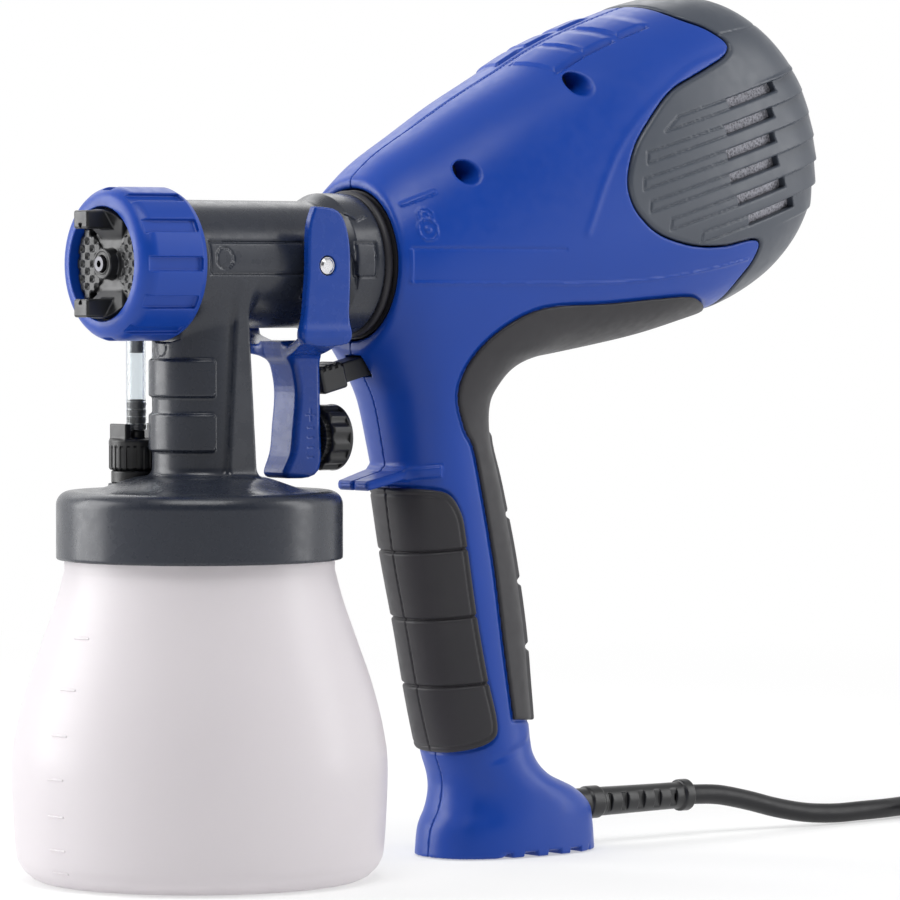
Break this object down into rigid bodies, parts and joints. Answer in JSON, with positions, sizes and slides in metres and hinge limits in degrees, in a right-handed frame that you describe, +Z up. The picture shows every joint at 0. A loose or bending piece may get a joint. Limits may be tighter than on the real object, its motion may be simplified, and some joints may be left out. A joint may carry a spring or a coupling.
{
  "type": "paint sprayer",
  "caption": "Hand-held electric turbine paint sprayer: tilted motor housing on a pistol grip, quick-fit spray head with trigger, screw-on cup and mains cord.",
  "frame": {"origin": "middle of the cup's flat base, where it stands", "axes": "+X is the spray direction, +Y is the sprayer's left side, +Z is up"},
  "size_m": [0.527, 0.132, 0.3158],
  "materials": {
    "black_plastic": "satin moulded",
    "blue_plastic": "fine moulded texture, satin",
    "brass": "turned",
    "clear_tube": "clear soft tube",
    "copper": "wound wire",
    "cord_rubber": "smooth rubber",
    "cup_plastic": "translucent, satin",
    "filter_foam": "open cell foam",
    "grey_plastic": "satin moulded",
    "soft_rubber": "matt rubber",
    "steel": "ground",
    "white_plastic": "satin"
  },
  "bodies": {
    "power_unit": {"left_shell": "blue_plastic", "right_shell": "blue_plastic", "front_grip": "soft_rubber", "back_grip": "soft_rubber", "housing_screws": "steel", "motor_can": "steel", "motor_end_bell": "black_plastic", "motor_mount": "soft_rubber", "front_bearing": "steel", "rear_bearing": "steel", "brushes": "black_plastic", "turbine_housing": "black_plastic", "outlet_duct": "black_plastic", "collar_seal": "soft_rubber", "switch_body": "black_plastic", "cord_clamp": "black_plastic", "clamp_screws": "steel", "strain_relief": "cord_rubber", "power_cord": "cord_rubber", "cord_coil": "cord_rubber", "plug_body": "black_plastic", "plug_blades": "brass"},
    "filter_cover": {"rear_cover": "grey_plastic", "filter_foam": "filter_foam"},
    "rotor": {"armature": "copper", "commutator": "copper", "motor_shaft": "steel", "fan_wheels": "white_plastic"},
    "plunger": {"switch_plunger": "black_plastic"},
    "front_end": {"front_body": "grey_plastic", "collar_sleeve": "white_plastic", "collar_o_ring": "soft_rubber", "fluid_nozzle": "steel", "nozzle_seal": "white_plastic", "needle_spring": "steel", "packing_nut": "brass", "trigger_pins": "steel", "cup_gasket": "white_plastic", "pickup_tube": "clear_tube", "valve_base": "black_plastic", "valve_diaphragm": "white_plastic", "valve_cap": "black_plastic", "air_hose": "clear_tube", "hose_barb": "black_plastic"},
    "cup_body": {"cup": "cup_plastic"},
    "needle_body": {"needle": "steel"},
    "air_cap_body": {"air_cap": "black_plastic"},
    "ring_body": {"retaining_ring": "blue_plastic"},
    "trigger_body": {"trigger": "blue_plastic", "knob_stud": "steel"},
    "knob_body": {"flow_knob": "black_plastic"}
  },
  "joints": [
    {"name": "front_end_twist", "type": "hinge", "parent": "power_unit", "child": "front_end", "pos_m": [-0.066, 0, 0.2153], "axis": [1, 0, 0], "range_deg": [0, 45]},
    {"name": "cup_unscrew", "type": "hinge", "parent": "front_end", "child": "cup_body", "pos_m": [0, 0, 0.12], "axis": [0, 0, 1], "range_deg": [-90, 0]},
    {"name": "trigger_pull", "type": "hinge", "parent": "front_end", "child": "trigger_body", "pos_m": [-0.0343, 0, 0.2148], "axis": [0, 1, 0], "range_deg": [0, 10], "stiffness_Nm_per_rad": 1, "springref_deg": -14.32},
    {"name": "needle_pull", "type": "slide", "parent": "front_end", "child": "needle_body", "axis": [-1, 0, 0], "range_m": [0, 0.0018]},
    {"name": "plunger_press", "type": "slide", "parent": "power_unit", "child": "plunger", "axis": [-0.9703, 0, 0.2419], "range_m": [0, 0.0071]},
    {"name": "flow_knob_turn", "type": "hinge", "parent": "trigger_body", "child": "knob_body", "pos_m": [-0.054, 0, 0.1536], "axis": [1, 0, 0], "range_deg": [0, 270]},
    {"name": "air_cap_turn", "type": "hinge", "parent": "front_end", "child": "air_cap_body", "pos_m": [0.036, 0, 0.2153], "axis": [1, 0, 0], "range_deg": [0, 90]},
    {"name": "ring_turn", "type": "hinge", "parent": "front_end", "child": "ring_body", "pos_m": [0.028, 0, 0.2153], "axis": [1, 0, 0], "range_deg": [0, 90]},
    {"name": "cover_slide", "type": "slide", "parent": "power_unit", "child": "filter_cover", "axis": [-0.9397, 0, 0.342], "range_m": [0, 0.06]},
    {"name": "rotor_spin", "type": "hinge", "parent": "power_unit", "child": "rotor", "pos_m": [-0.16171, 0, 0.23868], "axis": [-0.9397, 0, 0.342], "continuous": true}
  ],
  "couplings": [
    {"joint": "needle_pull", "follows": "trigger_pull", "m_per_rad": 0.0098},
    {"joint": "plunger_press", "follows": "trigger_pull", "m_per_rad": 0.04}
  ]
}
